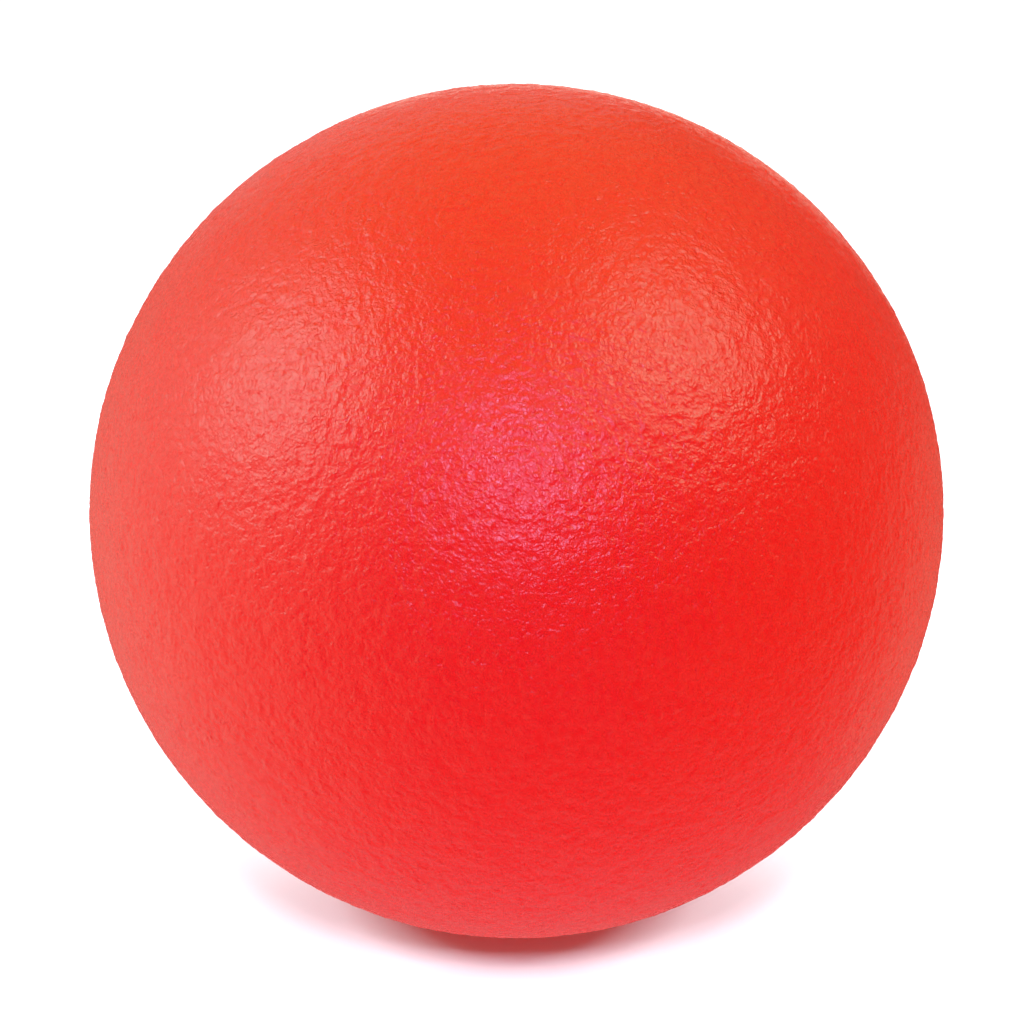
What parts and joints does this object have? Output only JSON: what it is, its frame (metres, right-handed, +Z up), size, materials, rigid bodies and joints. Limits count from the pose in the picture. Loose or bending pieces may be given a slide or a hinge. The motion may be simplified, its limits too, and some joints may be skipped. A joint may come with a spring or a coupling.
{
  "type": "playground ball",
  "caption": "Round low-bounce playground ball: a soft foam core under a thin, finely wrinkled red elastomer skin, for throwing, kicking and catching.",
  "frame": {"origin": "centre of the ball, which is the centre of its box", "axes": "+Z up; +Y runs out of the back of the ball through the dab that fills the holding pin's hole; the lowest point of the skin is at (0, 0, -0.108)"},
  "size_m": [0.216, 0.216, 0.216],
  "materials": {
    "foam": "open-cell polyurethane foam, cut",
    "sealer": "thin translucent elastomer, satin",
    "skin": "sprayed elastomer, finely wrinkled, satin",
    "dab": "brushed elastomer, smooth, glossy"
  },
  "bodies": {
    "root": {"foam_core": "foam", "sealer_coat": "sealer", "colour_skin": "skin", "pin_hole_dab": "dab"}
  },
  "joints": []
}
